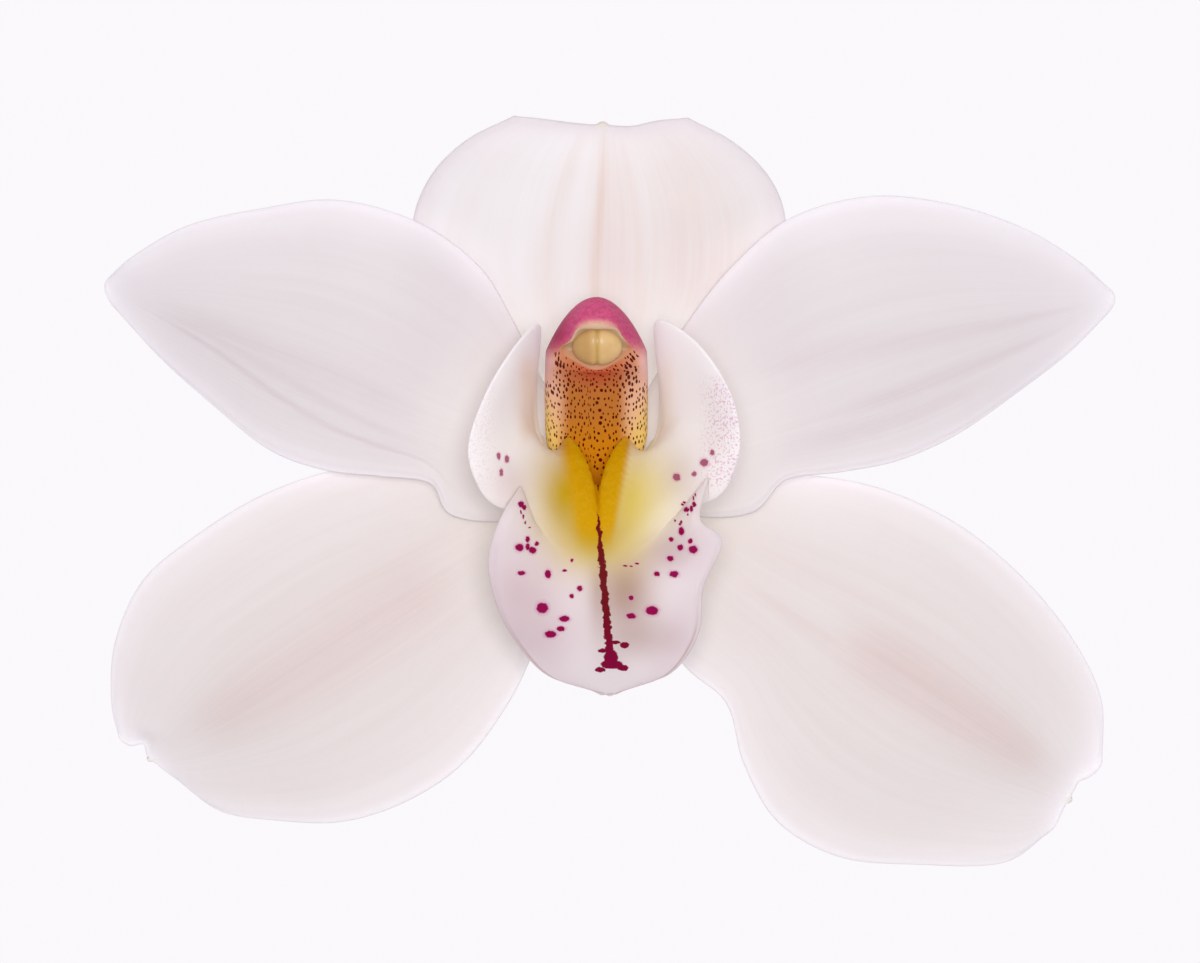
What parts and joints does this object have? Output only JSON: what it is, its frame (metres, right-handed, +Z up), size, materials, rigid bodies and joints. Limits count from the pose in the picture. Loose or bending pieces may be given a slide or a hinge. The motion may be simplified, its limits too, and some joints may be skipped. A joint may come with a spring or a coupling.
{
  "type": "cymbidium orchid bloom",
  "caption": "White orchid bloom lying face up: broad sepals and petals, a spotted lip with yellow keels, a hooded column and a short cut pedicel.",
  "frame": {"origin": "middle of the bloom's footprint, on the surface that it lies on", "axes": "+Z up out of the bloom's face, +Y towards the dorsal sepal, +X towards the right petal as the bloom is looked at"},
  "size_m": [0.1117, 0.0824, 0.0337],
  "materials": {
    "sepal_flesh": "satin",
    "petal_flesh": "satin",
    "lip_flesh": "satin",
    "column_flesh": "satin",
    "anther_cap": "satin",
    "ovary_skin": "satin"
  },
  "bodies": {
    "root": {"dorsal_sepal": "sepal_flesh", "lateral_sepal_left": "sepal_flesh", "lateral_sepal_right": "sepal_flesh", "petal_left": "petal_flesh", "petal_right": "petal_flesh", "labellum": "lip_flesh", "column": "column_flesh", "anther_cap": "anther_cap", "ovary_and_pedicel": "ovary_skin"}
  },
  "joints": []
}
